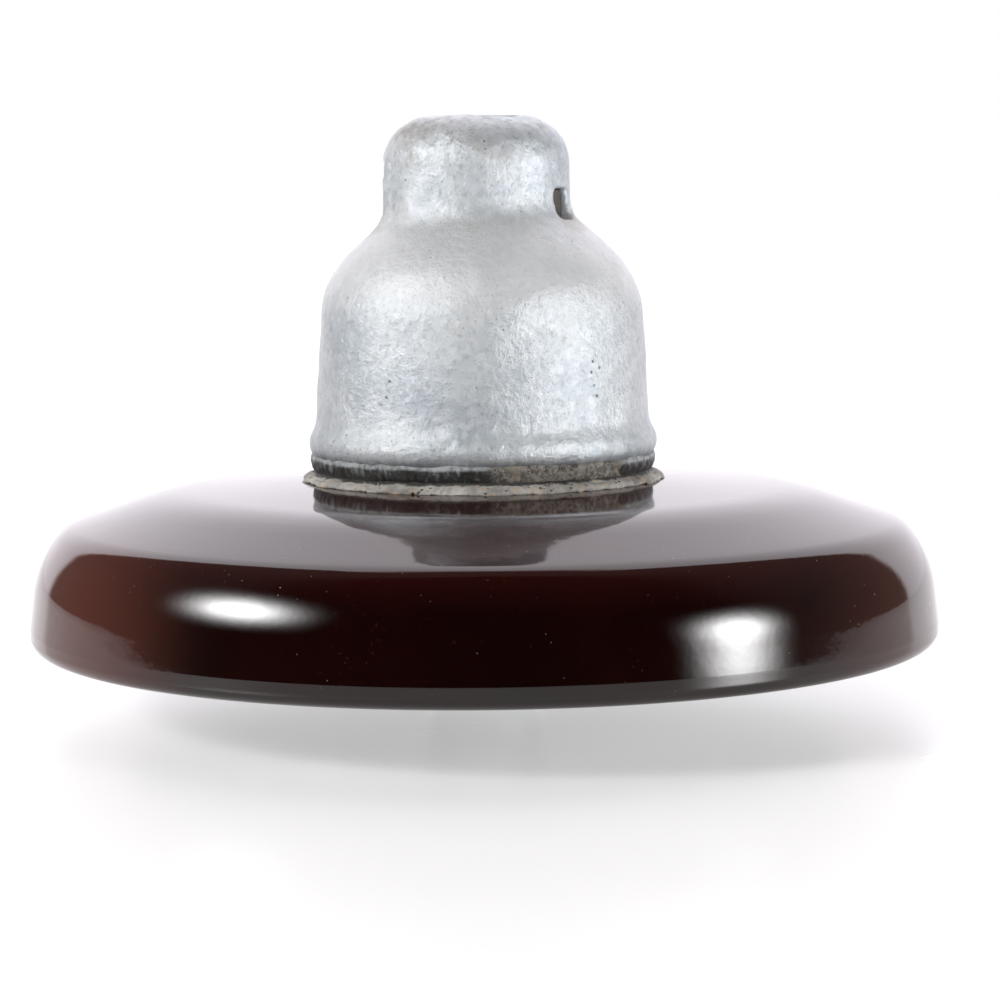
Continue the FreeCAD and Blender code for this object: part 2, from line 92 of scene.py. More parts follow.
def rounded(corners, arc_step, run_step):
    """Points of an outline of straight runs joined by arcs.

    corners holds (across, up[, radius]). At a corner with radius R between runs that meet at
    half angle h, the arc's centre lies R / sin h from the corner on the bisector, and the arc
    between its ends p0 and p1 is centre + (sin((1 - t) w) p0 + sin(t w) p1) / sin w, where w is
    the arc's whole angle and t goes from 0 to 1.
    """
    points = [np.array(corners[0][:2], float)[None]]
    for before, corner, after in zip(corners, corners[1:], corners[2:]):
        here = np.array(corner[:2], float)
        if len(corner) < 3:
            points.append(here[None])
            continue
        back = np.array(before[:2], float) - here
        ahead = np.array(after[:2], float) - here
        back /= np.linalg.norm(back)
        ahead /= np.linalg.norm(ahead)
        half = math.acos(np.clip(back @ ahead, -1, 1)) / 2
        whole = math.pi - 2 * half
        centre = here + (back + ahead) / np.linalg.norm(back + ahead) * corner[2] / math.sin(half)
        start = here + back * corner[2] / math.tan(half) - centre
        end = here + ahead * corner[2] / math.tan(half) - centre
        t = np.linspace(0, 1, max(4, math.ceil(math.degrees(whole) / arc_step)) + 1)[:, None]
        arc = (np.sin((1 - t) * whole) * start + np.sin(t * whole) * end) / math.sin(whole)
        points.append(centre + arc)
    points.append(np.array(corners[-1][:2], float)[None])
    line = np.concatenate(points)
    length = np.r_[0, np.cumsum(np.linalg.norm(np.diff(line, axis=0), axis=1))]
    extra = np.concatenate([
        np.linspace(a, b, max(1, math.ceil((b - a) / run_step)), endpoint=False)
        for a, b in zip(length[:-1], length[1:])
    ])
    extra = np.r_[extra, length[-1]]
    return np.stack([np.interp(extra, length, line[:, k]) for k in range(2)], 1)


def waves(points, shortest, longest, count, seed):
    """Smooth unevenness between about -1 and 1 over the points, in their own unit.

    The sum over count plane waves of sin(2 pi (direction . point) / length + phase), divided by
    the square root of count, with directions, phases and lengths drawn from the seed.
    """
    draw = np.random.default_rng(seed)
    direction = draw.normal(size=(count, 3))
    direction /= np.linalg.norm(direction, axis=1, keepdims=True)
    length = np.exp(draw.uniform(math.log(shortest), math.log(longest), count))
    phase = draw.uniform(0, 2 * math.pi, count)
    flat = points.reshape(-1, 3)
    turn = flat @ (2 * math.pi * direction / length[:, None]).T + phase
    return (np.sin(turn).sum(1) / math.sqrt(count)).reshape(points.shape[:-1])


def skin(name, grid, loop=False, body="insulator"):
    """A closed mesh over a grid of points in millimetres, row by row.

    Columns join round, and rows do too when loop is true. Otherwise each end row is closed with
    a fan to its own mean point.
    """
    rows, columns = grid.shape[:2]
    points = grid.reshape(-1, 3)
    i = np.arange(rows if loop else rows - 1)[:, None]
    j = np.arange(columns)[None]
    below = (i + 1) % rows
    beside = (j + 1) % columns
    faces = np.stack([
        i * columns + j, below * columns + j, below * columns + beside, i * columns + beside,
    ], -1).reshape(-1, 4).tolist()
    if not loop:
        ends = np.stack([grid[0].mean(0), grid[-1].mean(0)])
        first = rows * columns
        ring = np.arange(columns)
        onward = (ring + 1) % columns
        last = (rows - 1) * columns
        faces += np.stack([np.full(columns, first), ring, onward], 1).tolist()
        faces += np.stack([np.full(columns, first + 1), last + onward, last + ring], 1).tolist()
        points = np.concatenate([points, ends])
    return finished(name, points * MM, faces, body)


def finished(name, points, faces, body):
    """An object from points in metres and faces, merged, turned outwards, smooth, on its body."""
    mesh = bpy.data.meshes.new(name)
    mesh.from_pydata(points.tolist(), [], faces)
    work = bmesh.new()
    work.from_mesh(mesh)
    bmesh.ops.remove_doubles(work, verts=work.verts, dist=1e-6)
    bmesh.ops.recalc_face_normals(work, faces=work.faces)
    work.to_mesh(mesh)
    work.free()
    mesh.shade_smooth()
    item = bpy.data.objects.new(name, mesh)
    bpy.context.scene.collection.objects.link(item)
    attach(item, body)
    return item


def turned(name, outline, steps, uneven, seed):
    """A turned piece: the outline (radius r, height h) carried once round the upright axis.

    Point (i, a) is (r cos a, r sin a, h), and the radius is drawn in by uneven times
    (1 + waves) / 2, so that a warped piece never grows past its outline.
    """
    angle = np.linspace(0, 2 * math.pi, steps, endpoint=False)
    radius = outline[:, :1] * np.ones_like(angle)
    height = outline[:, 1:] * np.ones_like(angle)
    grid = np.stack([radius * np.cos(angle), radius * np.sin(angle), height], -1)
    draw_in = uneven * (1 + np.clip(waves(grid, 45, 240, 14, seed), -1, 1)) / 2
    radius = np.maximum(radius - draw_in * np.minimum(1, radius / 20), 0)
    return skin(name, np.stack([radius * np.cos(angle), radius * np.sin(angle), height], -1))


def collar(name, centre, along, across, tilt, steps, ragged, seed, lap=0.0):
    """A ragged ring: an oval section carried round the axis, its size changing as it goes.

    With section angle b, point (b, a) is centre + along (1 + n1) cos b on the tilted line and
    across (1 + n2) sin b square to it, n1 and n2 being ragged times waves round the ring. A lap
    raises the section by its amount over half the ring and drops back over one degree.
    """
    b = np.linspace(0, 2 * math.pi, 24, endpoint=False)[:, None]
    a = np.linspace(0, 2 * math.pi, steps, endpoint=False)[None]
    ring = np.stack([60 * np.cos(a), 60 * np.sin(a), 0 * a], -1)
    longer = 1 + ragged * waves(ring, 2.5, 30, 22, seed)
    thicker = 1 + ragged * waves(ring, 2.0, 18, 22, seed + 1)
    step = lap * (0.5 + 0.5 * np.tanh((np.mod(a - 4.55, 2 * math.pi) - math.pi) * -60))
    u = along * longer * np.cos(b)
    v = across * thicker * np.sin(b) + step
    radius = centre[0] + u * math.cos(tilt) - v * math.sin(tilt)
    height = centre[1] + u * math.sin(tilt) + v * math.cos(tilt)
    grid = np.stack([radius * np.cos(a), radius * np.sin(a), height + 0 * a], -1)
    grid = grid + 0.10 * waves(grid, 0.9, 4, 26, seed + 2)[..., None] * grid / 48 * [1, 1, 0]
    return skin(name, grid, loop=True)


def bent_strip(name, corners, thickness, low, high, body):
    """A strip standing on edge: a rounded section carried along a bent line.

    Point (s, b) is the line's point at s, moved by half the thickness times c(b) along the
    line's own left-hand normal and set at height middle + half the width times d(b), where
    (c, d) is a superellipse sgn(cos b) |cos b|^0.22, sgn(sin b) |sin b|^0.08.
    """
    line = rounded(corners, arc_step=9, run_step=1.2)
    ahead = np.gradient(line, axis=0)
    ahead /= np.linalg.norm(ahead, axis=1, keepdims=True)
    left = np.stack([-ahead[:, 1], ahead[:, 0]], 1)
    b = np.linspace(0, 2 * math.pi, 40, endpoint=False)
    c = np.sign(np.cos(b)) * np.abs(np.cos(b)) ** 0.22
    d = np.sign(np.sin(b)) * np.abs(np.sin(b)) ** 0.08
    flat = line[:, None] + left[:, None] * (thickness / 2 * c)[None, :, None]
    height = np.broadcast_to((low + high) / 2 + (high - low) / 2 * d, flat.shape[:2])
    return skin(name, np.concatenate([flat, height[..., None]], -1), body=body)


def eased(mesh, name, chosen, passes):
    """The mesh smoothed that many times at its chosen vertices only, as a new mesh."""
    raw = bpy.data.objects.new(name + "_raw", mesh)
    bpy.context.scene.collection.objects.link(raw)
    group = raw.vertex_groups.new(name="eased")
    group.add(np.flatnonzero(chosen).tolist(), 1.0, "REPLACE")
    ease = raw.modifiers.new("ease", "SMOOTH")
    ease.vertex_group = "eased"
    ease.factor = 0.5
    ease.iterations = passes
    bpy.context.view_layer.update()
    made = bpy.data.meshes.new_from_object(raw.evaluated_get(bpy.context.evaluated_depsgraph_get()))
    bpy.data.objects.remove(raw)
    return made


def positions(mesh, kind="co"):
    """The mesh's vertex positions or normals as an array of rows."""
    flat = np.zeros(len(mesh.vertices) * 3)
    mesh.vertices.foreach_get(kind, flat)
    return flat.reshape(-1, 3)


def cast_piece(name, node, voxel, soften, lumps, seed, body):
    """A casting made from a CAD node: its copy is merged, remeshed to an even skin and eased.

    The upper edge of the entry mouth is eased further, as a worn casting's is. Each point p
    then moves along its normal by lumps times (waves(p) - 1) / 2, the slight hollows of a sand
    mould. The upright lips of the mouth swell by 1.1 mm exp(-((|y| - MOUTH_LIP) / 2.6)^2),
    fading to nothing over 4 mm at each end.
    """
    mesh = frame["nodes"][node].data.copy()
    work = bmesh.new()
    work.from_mesh(mesh)
    bmesh.ops.remove_doubles(work, verts=work.verts, dist=1e-6)
    work.to_mesh(mesh)
    work.free()
    mesh.materials.clear()
    raw = bpy.data.objects.new(name + "_raw", mesh)
    bpy.context.scene.collection.objects.link(raw)
    even = raw.modifiers.new("even", "REMESH")
    even.mode = "VOXEL"
    even.voxel_size = voxel * MM
    ease = raw.modifiers.new("ease", "SMOOTH")
    ease.factor = 0.5
    ease.iterations = soften
    bpy.context.view_layer.update()
    made = bpy.data.meshes.new_from_object(raw.evaluated_get(bpy.context.evaluated_depsgraph_get()))
    bpy.data.objects.remove(raw)
    at = positions(made) / MM
    out = np.hypot(at[:, 0] + HEAD_SHIFT, at[:, 1])
    brow = (at[:, 0] < -14) & (np.abs(at[:, 1]) < 19) & (np.abs(at[:, 2] - RIM - MOUTH_TOP) < 3)
    made = eased(made, name, brow & (out > 21.0), 45)
    points = positions(made)
    normals = positions(made, "normal")
    shift = lumps * MM * (waves(points / MM, 7, 40, 26, seed) - 1) / 2
    points = points + normals * shift[:, None]
    level = points[:, 2] / MM - RIM
    fade = np.clip((level - 114) / 4, 0, 1) * np.clip((138 - level) / 4, 0, 1)
    lip = 1.1 * fade * np.exp(-((np.abs(points[:, 1] / MM) - MOUTH_LIP) / 2.6) ** 2)
    outer = np.clip((np.hypot(points[:, 0] / MM + HEAD_SHIFT, points[:, 1] / MM) - 21) / 3, 0, 1)
    swell = (lip * outer * (points[:, 0] < -0.014) * MM)[:, None]
    points = points + swell * [-0.80, 0, 0] + swell * np.sign(points[:, 1:2]) * [0, 0.6, 0]
    made.vertices.foreach_set("co", points.ravel())
    made.update()
    made.shade_smooth()
    made.name = name
    item = bpy.data.objects.new(name, made)
    bpy.context.scene.collection.objects.link(item)
    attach(item, body)
    return item


# ---------------------------------------------------------------- finishes


class Tone:
    """A socket whose operators add Math nodes, so that shader maths reads as plain sums."""

    def __init__(self, finish, socket):
        self.finish = finish
        self.socket = socket

    def math(self, operation, *others):
        return self.finish.math(operation, self, *others)

    def __add__(self, other):
        return self.math("ADD", other)

    def __radd__(self, other):
        return self.math("ADD", other)

    def __sub__(self, other):
        return self.math("SUBTRACT", other)

    def __rsub__(self, other):
        return self.finish.math("SUBTRACT", other, self)

    def __mul__(self, other):
        return self.math("MULTIPLY", other)

    def held(self):
        """The value held between 0 and 1."""
        return self.math("MAXIMUM", 0.0).math("MINIMUM", 1.0)

    def rise(self, low, high):
        """0 below low, 1 above high and a smooth rise between; falls where low is above high."""
        return self.finish.add(
            "ShaderNodeMapRange",
            {"interpolation_type": "SMOOTHSTEP"},
            {"Value": self, "From Min": min(low, high), "From Max": max(low, high),
             "To Min": float(low > high), "To Max": float(low < high)},
        )


class Finish:
    """A node tree being written: a material's, the world's or a lamp's."""

    def __init__(self, tree):
        self.tree = tree
        tree.nodes.clear()

    def add(self, kind, settings=None, values=None, output=0):
        """Adds a node of that type, sets its settings, then its sockets' values or links."""
        node = self.tree.nodes.new(kind)
        for key, value in (settings or {}).items():
            if key == "stops":
                ramp = node.color_ramp
                for place, (position, colour) in enumerate(value):
                    stop = ramp.elements[place] if place < 2 else ramp.elements.new(position)
                    stop.position = position
                    stop.color = (*colour, 1)
            else:
                setattr(node, key, value)
        for key, value in (values or {}).items():
            socket = node.inputs[key]
            if isinstance(value, Tone):
                self.tree.links.new(value.socket, socket)
            elif isinstance(value, tuple) and len(value) == 3 and socket.type == "RGBA":
                socket.default_value = (*value, 1)
            else:
                socket.default_value = value
        return Tone(self, node.outputs[output]) if len(node.outputs) else None

    def math(self, operation, *values):
        return self.add("ShaderNodeMath", {"operation": operation}, dict(enumerate(values)))

    def place(self, scale=(1, 1, 1)):
        """Object coordinates in metres, stretched by scale."""
        at = self.add("ShaderNodeTexCoord", output="Object")
        return self.add("ShaderNodeMapping", None, {"Vector": at, "Scale": scale})

    def noise(self, at, scale, detail=3.0, roughness=0.55):
        return self.add(
            "ShaderNodeTexNoise", None,
            {"Vector": at, "Scale": scale, "Detail": detail, "Roughness": roughness},
        )

    def cells(self, at, scale, output="Distance", feature="F1"):
        return self.add(
            "ShaderNodeTexVoronoi", {"feature": feature}, {"Vector": at, "Scale": scale}, output,
        )

    def blend(self, factor, first, second, how="MIX"):
        """Colour between first, at factor 0, and second, at factor 1."""
        return self.add(
            "ShaderNodeMix", {"data_type": "RGBA", "blend_type": how},
            {0: factor, 6: first, 7: second}, 2,
        )

    def along(self, at):
        """The three parts of a vector."""
        first = self.add("ShaderNodeSeparateXYZ", None, {0: at})
        return [Tone(self, socket) for socket in first.socket.node.outputs]

    def bump(self, height, distance, strength=1.0, under=None):
        values = {"Height": height, "Distance": distance, "Strength": strength}
        if under is not None:
            values["Normal"] = under
        return self.add("ShaderNodeBump", None, values)


def material(name, **values):
    """A new material: its finish, and a call that closes it with the shader's own values."""
    made = bpy.data.materials.new(name)
    made.use_nodes = True
    finish = Finish(made.node_tree)

    def close(**links):
        shader = finish.add(
            "ShaderNodeBsdfPrincipled", None,
            {key.replace("_", " "): value for key, value in {**values, **links}.items()},
        )
        finish.add("ShaderNodeOutputMaterial", None, {"Surface": shader})
        return made

    return finish, close


def wash(finish, at):
    """Distance from the upright axis and height, both in metres."""
    x, y, z = finish.along(at)
    return (x * x + y * y).math("SQRT"), x, y, z


def glaze():
    """Glossy red-brown glaze: thinner and redder on edges, with fine orange peel, specks and dust.
    Low on its left and right sides a painted glow of the lamps' light tints it redder."""
    f, close = material("brown_glaze", IOR=1.5)
    at = f.place()
    radius, x, y, z = wash(f, at)
    cloud = f.noise(at, 26, 3)
    body = f.blend(cloud.rise(0.35, 0.7), (0.0042, 0.0003, 0.0002), (0.0072, 0.0007, 0.0005))
    thin_rib = (z.rise(0.0300, 0.0235)) * radius.rise(0.098, 0.096)
    thin_rim = z.rise(0.0205, 0.0165) * radius.rise(0.100, 0.103)
    thin = (thin_rib + thin_rim * 0.6 + f.noise(at, 90, 2) * 0.3 - 0.2).held()
    body = f.blend(thin * 0.40, body, (0.075, 0.020, 0.011))
    # painted light: low on the left and right sides the glaze is painted redder, where the lamps
    # light it
    across = x * SIDE.x + y * SIDE.y
    lamp_glow_left = across.rise(-0.068, -0.106) * (0.75 + cloud * 0.5)
    lamp_glow_right = across.rise(0.078, 0.112) * 0.35
    painted_lamp_glow = ((lamp_glow_left + lamp_glow_right) * z.rise(0.0575, 0.0520)).held()
    body = f.blend(painted_lamp_glow * 0.85, body, (0.072, 0.018, 0.011))
    speck = f.cells(at, 520)
    chosen = f.noise(at, 61, 2).rise(0.50, 0.62)
    iron = speck.rise(0.17, 0.09) * chosen
    body = f.blend(iron * 0.7, body, (0.040, 0.012, 0.006))
    mote = f.cells(at, 390).rise(0.085, 0.03)
    upward = z.rise(0.040, 0.056)
    body = f.blend(upward * 0.5, body, (0.036, 0.0050, 0.0042))
    dusty = f.noise(at, 38, 4, 0.7).rise(0.46, 0.66)
    mote = (mote * (dusty * 0.7 + upward * 0.35)).held()
    body = f.blend(mote * 0.8, body, (0.42, 0.36, 0.33))
    film = (upward * radius.rise(0.078, 0.052) * f.noise(at, 120, 5, 0.7).rise(0.35, 0.75)).held()
    body = f.blend(film * 0.10, body, (0.36, 0.32, 0.29))
    rough = 0.035 + cloud * 0.02 + mote * 0.45 + film * 0.07 + f.noise(at, 14, 2) * 0.03
    peel = f.noise(at, 150, 2, 0.4) * 0.7 + f.noise(at, 480, 2, 0.5) * 0.25
    bump = f.bump(peel + mote * 0.6, 0.00006, 0.55)
    sag = f.bump(f.noise(at, 22, 1, 0.3), 0.0004, 0.18, bump)
    return close(Base_Color=body, Roughness=rough, Normal=sag)


def galvanised(name, grain, dirt_and_painted_light, bright):
    """Hot-dip zinc over a casting: pale grained skin, spangle, pits, rust specks and grime.

    The shoulder, which faces up, is painted pale and less metallic: a painted highlight.

    The inside of the socket, more than 1 mm within the head's outer face, is painted dark: painted
    shade in the recess.
    """
    f, close = material(name, IOR=1.5)
    at = f.place()
    radius, x, y, z = wash(f, at)
    foot = RIM * MM
    crystal = f.along(f.cells(at, 520, "Color", "SMOOTH_F1"))[0]
    cloud = f.noise(at, 30, 5, 0.62)
    sandy = f.noise(at, 620, 5, 0.72)
    coarse = f.noise(at, 230, 5, 0.65)
    dull, plain, spangle = (
        tuple(bright * part for part in tone)
        for tone in ((0.40, 0.445, 0.485), (0.56, 0.585, 0.60), (0.70, 0.72, 0.73))
    )
    zinc = f.blend(cloud.rise(0.30, 0.70), dull, plain)
    zinc = f.blend(crystal.rise(0.2, 0.8) * 0.35, zinc, spangle)
    zinc = f.blend(sandy.rise(0.50, 0.68) * 0.50, zinc, (0.26, 0.27, 0.275))
    zinc = f.blend(coarse.rise(0.60, 0.76) * 0.30, zinc, (0.27, 0.275, 0.28))
    # pits painted dark: painted shade inside each pit, with a shallow dip in the bump
    pit = f.cells(at, 300).rise(0.16, 0.07) * f.noise(at, 47, 3).rise(0.53, 0.60)
    small = f.cells(at, 760).rise(0.20, 0.10) * f.noise(at, 85, 3).rise(0.48, 0.60)
    upper = z.rise(foot + 0.078, foot + 0.104)
    pits = (pit + small * (0.45 + upper * 0.4)).held()
    zinc = f.blend(pits * 0.75, zinc, (0.085, 0.08, 0.075))
    rusted = f.noise(at, 70, 4, 0.7).rise(0.63, 0.72) * f.noise(at, 420, 3, 0.7).rise(0.50, 0.62)
    lip = (x.rise(-0.0185, -0.0225) * y.math("ABSOLUTE").rise(0.0145, 0.0175)
           * y.math("ABSOLUTE").rise(0.0225, 0.0190) * z.rise(foot + 0.128, foot + 0.122)
           * z.rise(foot + 0.109, foot + 0.115))
    sill = x.rise(0.019, 0.022) * y.math("ABSOLUTE").rise(0.0072, 0.0045)
    sill = sill * z.rise(foot + 0.1215, foot + 0.1195) * z.rise(foot + 0.1155, foot + 0.1170)
    rusted = (rusted * 0.7 + lip * coarse.rise(0.38, 0.52) + sill * 0.5).held() * dirt_and_painted_light
    zinc = f.blend(rusted * 0.8, zinc, (0.17, 0.085, 0.04))
    # painted highlight: the upward-facing shoulder band is painted pale and made less metallic
    chalk_and_highlight = z.rise(foot + 0.090, foot + 0.106) * z.rise(foot + 0.128, foot + 0.116) * dirt_and_painted_light
    zinc = f.blend(chalk_and_highlight * 0.55, zinc, (0.72, 0.73, 0.735))
    undercut = z.rise(foot + 0.0568, foot + 0.0540) * radius.rise(0.040, 0.043)
    crown = z.rise(foot + 0.130, foot + 0.143)
    soil = f.noise(at, 58, 6, 0.74).rise(0.46, 0.66)
    head = z.rise(foot + 0.112, foot + 0.120)
    grime = (soil * (0.10 + undercut * 0.45 + head * 0.22 + crown * 0.42) * dirt_and_painted_light).held()
    zinc = f.blend(grime * 0.75, zinc, (0.23, 0.205, 0.175))
    # painted shade: the undercut below the bead is darkened grey-blue in a broken pattern
    shade = (undercut * f.noise(at, 150, 5, 0.7).rise(0.26, 0.56)).held() * dirt_and_painted_light
    zinc = f.blend(shade * 0.72, zinc, (0.085, 0.092, 0.098))
    # painted shade: inside the socket, fading in from 1.1 to 2.4 mm within the head's outer face,
    # the zinc is painted near black
    bowl = (z - (foot + HEAD_TURN * MM)).math("MAXIMUM", 0.0)
    curve = (HEAD_ROUND * MM) ** 2 - bowl * bowl
    wall = HEAD_CROWN * MM + curve.math("MAXIMUM", 0.0).math("SQRT")
    shifted = x + HEAD_SHIFT * MM
    depth = wall - (shifted * shifted + y * y).math("SQRT")
    socket_shade = depth.rise(0.0011, 0.0024) * z.rise(foot + 0.112, foot + 0.116) * dirt_and_painted_light
    zinc = f.blend(socket_shade * 0.90, zinc, (0.035, 0.029, 0.024))
    metal = (0.60 - grime * 0.35 - shade * 0.3 - rusted * 0.4 - pits * 0.2 - socket_shade * 0.4
             - chalk_and_highlight * 0.28).held()
    rough = (0.27 + cloud * 0.08 + sandy * 0.12 + grime * 0.3 + pits * 0.2 + socket_shade * 0.3).held()
    height = sandy * 1.1 + coarse * 0.8 - pits * 0.45 + crystal * 0.05 + grime * 0.2
    bump = f.bump(height, 0.00045 * grain, 0.9)
    dents = f.bump(f.noise(at, 85, 3, 0.5), 0.0010 * grain, 0.40, bump)
    return close(Base_Color=zinc, Roughness=rough, Metallic=metal, Normal=dents)


def cement(name="cement_grey", blackened=0.0):
    """Neat cement: sandy, pale, with tan flecks, air holes and a broken face.

    Above the crust, at full strength when the second argument is 1, the cement is painted near
    black in a ragged band.
    """
    f, close = material(name)
    at = f.place()
    radius, x, y, z = wash(f, at)
    cloud = f.noise(at, 75, 5, 0.65)
    tone = f.blend(cloud.rise(0.3, 0.7), (0.22, 0.215, 0.20), (0.56, 0.55, 0.515))
    r, g, b = f.along(f.cells(at, 900, "Color"))
    tone = f.blend(r.rise(0.60, 0.95) * 0.55, tone, (0.50, 0.38, 0.26))
    tone = f.blend(g.rise(0.70, 0.95) * 0.45, tone, (0.20, 0.19, 0.175))
    # air holes painted near black: painted shade inside each hole, with a dip in the bump
    hole = f.cells(at, 520).rise(0.30, 0.14) * f.noise(at, 190, 2).rise(0.42, 0.56)
    tone = f.blend(hole * 0.92, tone, (0.030, 0.026, 0.023))
    # the cement above the crust is painted near black in a ragged band, and made less rough there
    ragged = z + (f.noise(at, 170, 5, 0.7) - 0.5) * 0.0032
    black = ragged.rise(RIM * MM + 0.0489, RIM * MM + 0.0497) * radius.rise(0.0435, 0.0445) * blackened
    tone = f.blend(black * 0.95, tone, (0.012, 0.011, 0.010))
    rough = 0.78 + cloud * 0.2 - black * 0.3
    height = f.noise(at, 430, 6, 0.78) - hole * 0.9 + f.cells(at, 900) * 0.25
    return close(Base_Color=tone, Roughness=rough, Normal=f.bump(height, 0.0008, 0.9))


def bitumen(name="bitumen_black", weathered=0.0):
    """Brushed bitumen: black, half glossy, with brush ridges and dust.

    Weathered, its upper ledge is chalky, pale streaks run down its face, and rough grey cement
    covers a stretch from 3 to 36 mm right of the front.
    """
    f, close = material(name)
    at = f.place()
    radius, x, y, z = wash(f, at)
    across = x * SIDE.x + y * SIDE.y
    near = x * TOWARDS.x + y * TOWARDS.y
    level = z - RIM * MM
    cloud = f.noise(at, 120, 4, 0.65)
    tone = f.blend(cloud.rise(0.4, 0.75), (0.010, 0.0095, 0.009), (0.034, 0.033, 0.032))
    dust = f.noise(at, 330, 5, 0.75).rise(0.56, 0.70)
    tone = f.blend(dust * 0.45, tone, (0.26, 0.25, 0.235))
    runs = f.noise(f.place((1, 1, 0.25)), 300, 5, 0.75)
    wavy = level + (f.noise(at, 90, 4, 0.6) - 0.5) * 0.0016
    ledge = wavy.rise(0.0529, 0.0539) * weathered
    chalk_and_highlight = (ledge * (0.35 + f.noise(at, 260, 5, 0.75).rise(0.35, 0.6) * 0.65)
             + wavy.rise(0.0505, 0.0532) * runs.rise(0.50, 0.66) * 0.55 * weathered).held()
    tone = f.blend(chalk_and_highlight * 0.85, tone, (0.40, 0.42, 0.43))
    broken = across + (f.noise(at, 150, 4, 0.6) - 0.5) * 0.006
    patch = broken.rise(0.001, 0.004) * broken.rise(0.0375, 0.0365)
    patch = patch * near.rise(0.0, 0.008) * weathered
    rubble = f.noise(at, 520, 5, 0.8)
    grey = f.blend(rubble.rise(0.36, 0.62), (0.055, 0.05, 0.045), (0.30, 0.28, 0.245))
    grey = f.blend(f.noise(at, 160, 3).rise(0.52, 0.66) * 0.6, grey, (0.20, 0.165, 0.115))
    tone = f.blend(patch * 0.93, tone, grey)
    rough = (0.30 + cloud * 0.25 + dust * 0.3 + chalk_and_highlight * 0.3 + patch * 0.45).held()
    height = runs * 0.7 + dust * 0.3 + patch * rubble * 1.6
    return close(Base_Color=tone, Roughness=rough, Normal=f.bump(height, 0.0007, 0.8))


def fired_sand():
    """Crushed porcelain grit fired into the glaze: sharp pale and brown grains."""
    f, close = material("fired_grit")
    at = f.place()
    grain = f.cells(at, 1400, "Color")
    r, g, b = f.along(grain)
    tone = f.blend(r.rise(0.2, 0.9), (0.22, 0.13, 0.085), (0.60, 0.53, 0.44))
    tone = f.blend(g.rise(0.86, 0.95), tone, (0.06, 0.03, 0.02))
    height = f.cells(at, 1400).math("SUBTRACT", b * 0.5)
    return close(Base_Color=tone, Roughness=0.6 + b * 0.35, Normal=f.bump(height, 0.0006, 0.9))


def cork():
    """Pressed cork: packed granules with dark seams between them."""
    f, close = material("pressed_cork")
    at = f.place()
    r, g, b = f.along(f.cells(at, 620, "Color"))
    seam = f.cells(at, 620, "Distance", "DISTANCE_TO_EDGE").rise(0.09, 0.02)
    tone = f.blend(r, (0.24, 0.135, 0.07), (0.46, 0.29, 0.16))
    tone = f.blend(seam * 0.8, tone, (0.07, 0.035, 0.02))
    fibre = f.noise(at, 1500, 3, 0.7)
    height = fibre * 0.4 - seam
    return close(Base_Color=tone, Roughness=0.82 + fibre * 0.15, Normal=f.bump(height, 0.0004, 0.8))


def spring_strip():
    """Rolled spring strip: fine lines along its length and dull handling marks."""
    f, close = material("rolled_strip")
    along = f.place((0.05, 1, 1))
    at = f.place()
    lines = f.noise(along, 4200, 3, 0.6)
    cloud = f.noise(at, 150, 4, 0.6)
    tone = f.blend(lines.rise(0.3, 0.7), (0.085, 0.080, 0.072), (0.16, 0.15, 0.135))
    tone = f.blend(cloud.rise(0.55, 0.75) * 0.5, tone, (0.07, 0.055, 0.04))
    rough = 0.42 + lines * 0.12 + cloud * 0.16
    return close(Base_Color=tone, Roughness=rough, Metallic=0.95 - cloud.rise(0.6, 0.8) * 0.3,
                 Normal=f.bump(lines, 0.00004, 0.6))


def table_top():
    """Pale matt table, very slightly mottled."""
    f, close = material("pale_table", IOR=1.30, Emission_Color=(1, 1, 1, 1), Emission_Strength=0.42)
    at = f.place()
    mottle = f.noise(at, 9, 3, 0.5)
    tone = f.blend(mottle, (0.60, 0.60, 0.605), (0.635, 0.635, 0.635))
    return close(Base_Color=tone, Roughness=0.22 + mottle * 0.08)


def dress(item, finish):
    """Gives every face of the object one finish, adding a material slot where it has none."""
    if item.data.materials:
        for place in range(len(item.data.materials)):
            item.data.materials[place] = finish
    else:
        item.data.materials.append(finish)
    return item


# ---------------------------------------------------------------- camera

CAMERA_TURN = math.radians(25)
TOWARDS = Vector((math.sin(CAMERA_TURN), -math.cos(CAMERA_TURN), 0))
SIDE = Vector((math.cos(CAMERA_TURN), math.sin(CAMERA_TURN), 0))
UP = Vector((0, 0, 1))


def direction(turn, rise):
    """Unit vector turned from the camera's side of the axis, positive to the right, and risen."""
    turn, rise = math.radians(turn), math.radians(rise)
    return math.cos(rise) * (math.cos(turn) * TOWARDS + math.sin(turn) * SIDE) + math.sin(rise) * UP


def set_camera():
    """A long lens a little above the disc, aimed down slightly and rolled by half a degree."""
    lens = bpy.data.cameras.new("studio_camera")
    lens.lens = 106.35
    lens.sensor_width = 36
    lens.clip_start = 0.05
    lens.clip_end = 100
    camera = bpy.data.objects.new("studio_camera", lens)
    bpy.context.scene.collection.objects.link(camera)
    pitch, yaw, roll = math.radians(5.83), math.radians(0.3165), math.radians(0.505)
    level = -math.cos(yaw) * TOWARDS + math.sin(yaw) * SIDE
    right = math.cos(yaw) * SIDE + math.sin(yaw) * TOWARDS
    ahead = math.cos(pitch) * level - math.sin(pitch) * UP
    above = right.cross(ahead)
    across = math.cos(roll) * right - math.sin(roll) * above
    upright = math.cos(roll) * above + math.sin(roll) * right
    turn = Matrix((across, upright, -ahead)).transposed().to_4x4()
    camera.matrix_world = Matrix.Translation(0.830 * TOWARDS + (RIM + 125.5) * MM * UP) @ turn
    bpy.context.scene.camera = camera


# ---------------------------------------------------------------- pieces

set_camera()

